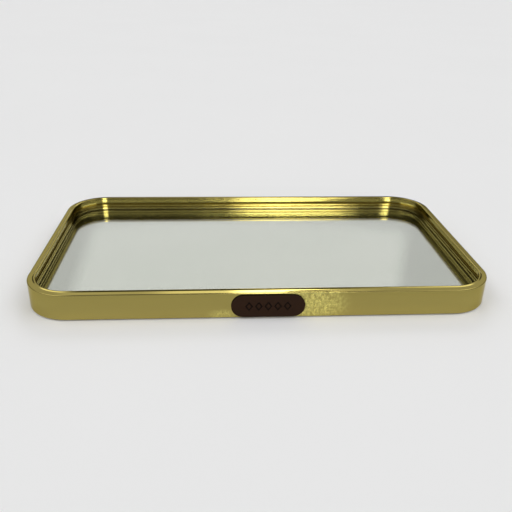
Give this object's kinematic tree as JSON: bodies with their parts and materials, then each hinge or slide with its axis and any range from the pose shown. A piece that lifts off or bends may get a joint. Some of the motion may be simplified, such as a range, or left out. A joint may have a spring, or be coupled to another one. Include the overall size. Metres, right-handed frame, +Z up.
{
  "type": "vanity tray",
  "caption": "Low rectangular vanity tray with round corners: mirror floor in a bent gold-coloured metal rim, with a small leather label on the front.",
  "frame": {"origin": "on the surface that the tray stands on, under the middle of the rim", "axes": "+X to the right along the length, +Y to the back, away from the label, +Z up"},
  "size_m": [0.35, 0.2013, 0.0219],
  "materials": {
    "gold_metal": "polished gold anodised",
    "plain_aluminium": "mill",
    "black_rubber": "matte",
    "clear_glass": "polished float glass",
    "silvering": "silvered, grey backing paint",
    "white_foam": "closed-cell foam",
    "fibreboard": "raw MDF",
    "black_felt": "short flock",
    "spring_steel": "stamped, plated",
    "zinc_steel": "zinc plated",
    "clear_tape": "double-sided tape",
    "brown_leather": "fine grain, pressed ornament"
  },
  "bodies": {
    "root": {"rim_frame": "gold_metal", "splice_plate": "plain_aluminium", "splice_rivet_left": "plain_aluminium", "splice_rivet_right": "plain_aluminium", "glass_gasket": "black_rubber", "mirror_glass": "clear_glass", "mirror_silvering": "silvering", "foam_sheet": "white_foam", "backing_board": "fibreboard", "base_felt": "black_felt", "retaining_clip_front_left": "spring_steel", "retaining_clip_front_middle": "spring_steel", "retaining_clip_front_right": "spring_steel", "retaining_clip_right": "spring_steel", "retaining_clip_back_right": "spring_steel", "retaining_clip_back_middle": "spring_steel", "retaining_clip_back_left": "spring_steel", "retaining_clip_left": "spring_steel", "clip_screw_front_left": "zinc_steel", "clip_screw_front_middle": "zinc_steel", "clip_screw_front_right": "zinc_steel", "clip_screw_right": "zinc_steel", "clip_screw_back_right": "zinc_steel", "clip_screw_back_middle": "zinc_steel", "clip_screw_back_left": "zinc_steel", "clip_screw_left": "zinc_steel", "foot_front_left": "black_rubber", "foot_front_right": "black_rubber", "foot_back_left": "black_rubber", "foot_back_right": "black_rubber", "label_adhesive": "clear_tape", "label_plaque": "brown_leather"}
  },
  "joints": []
}
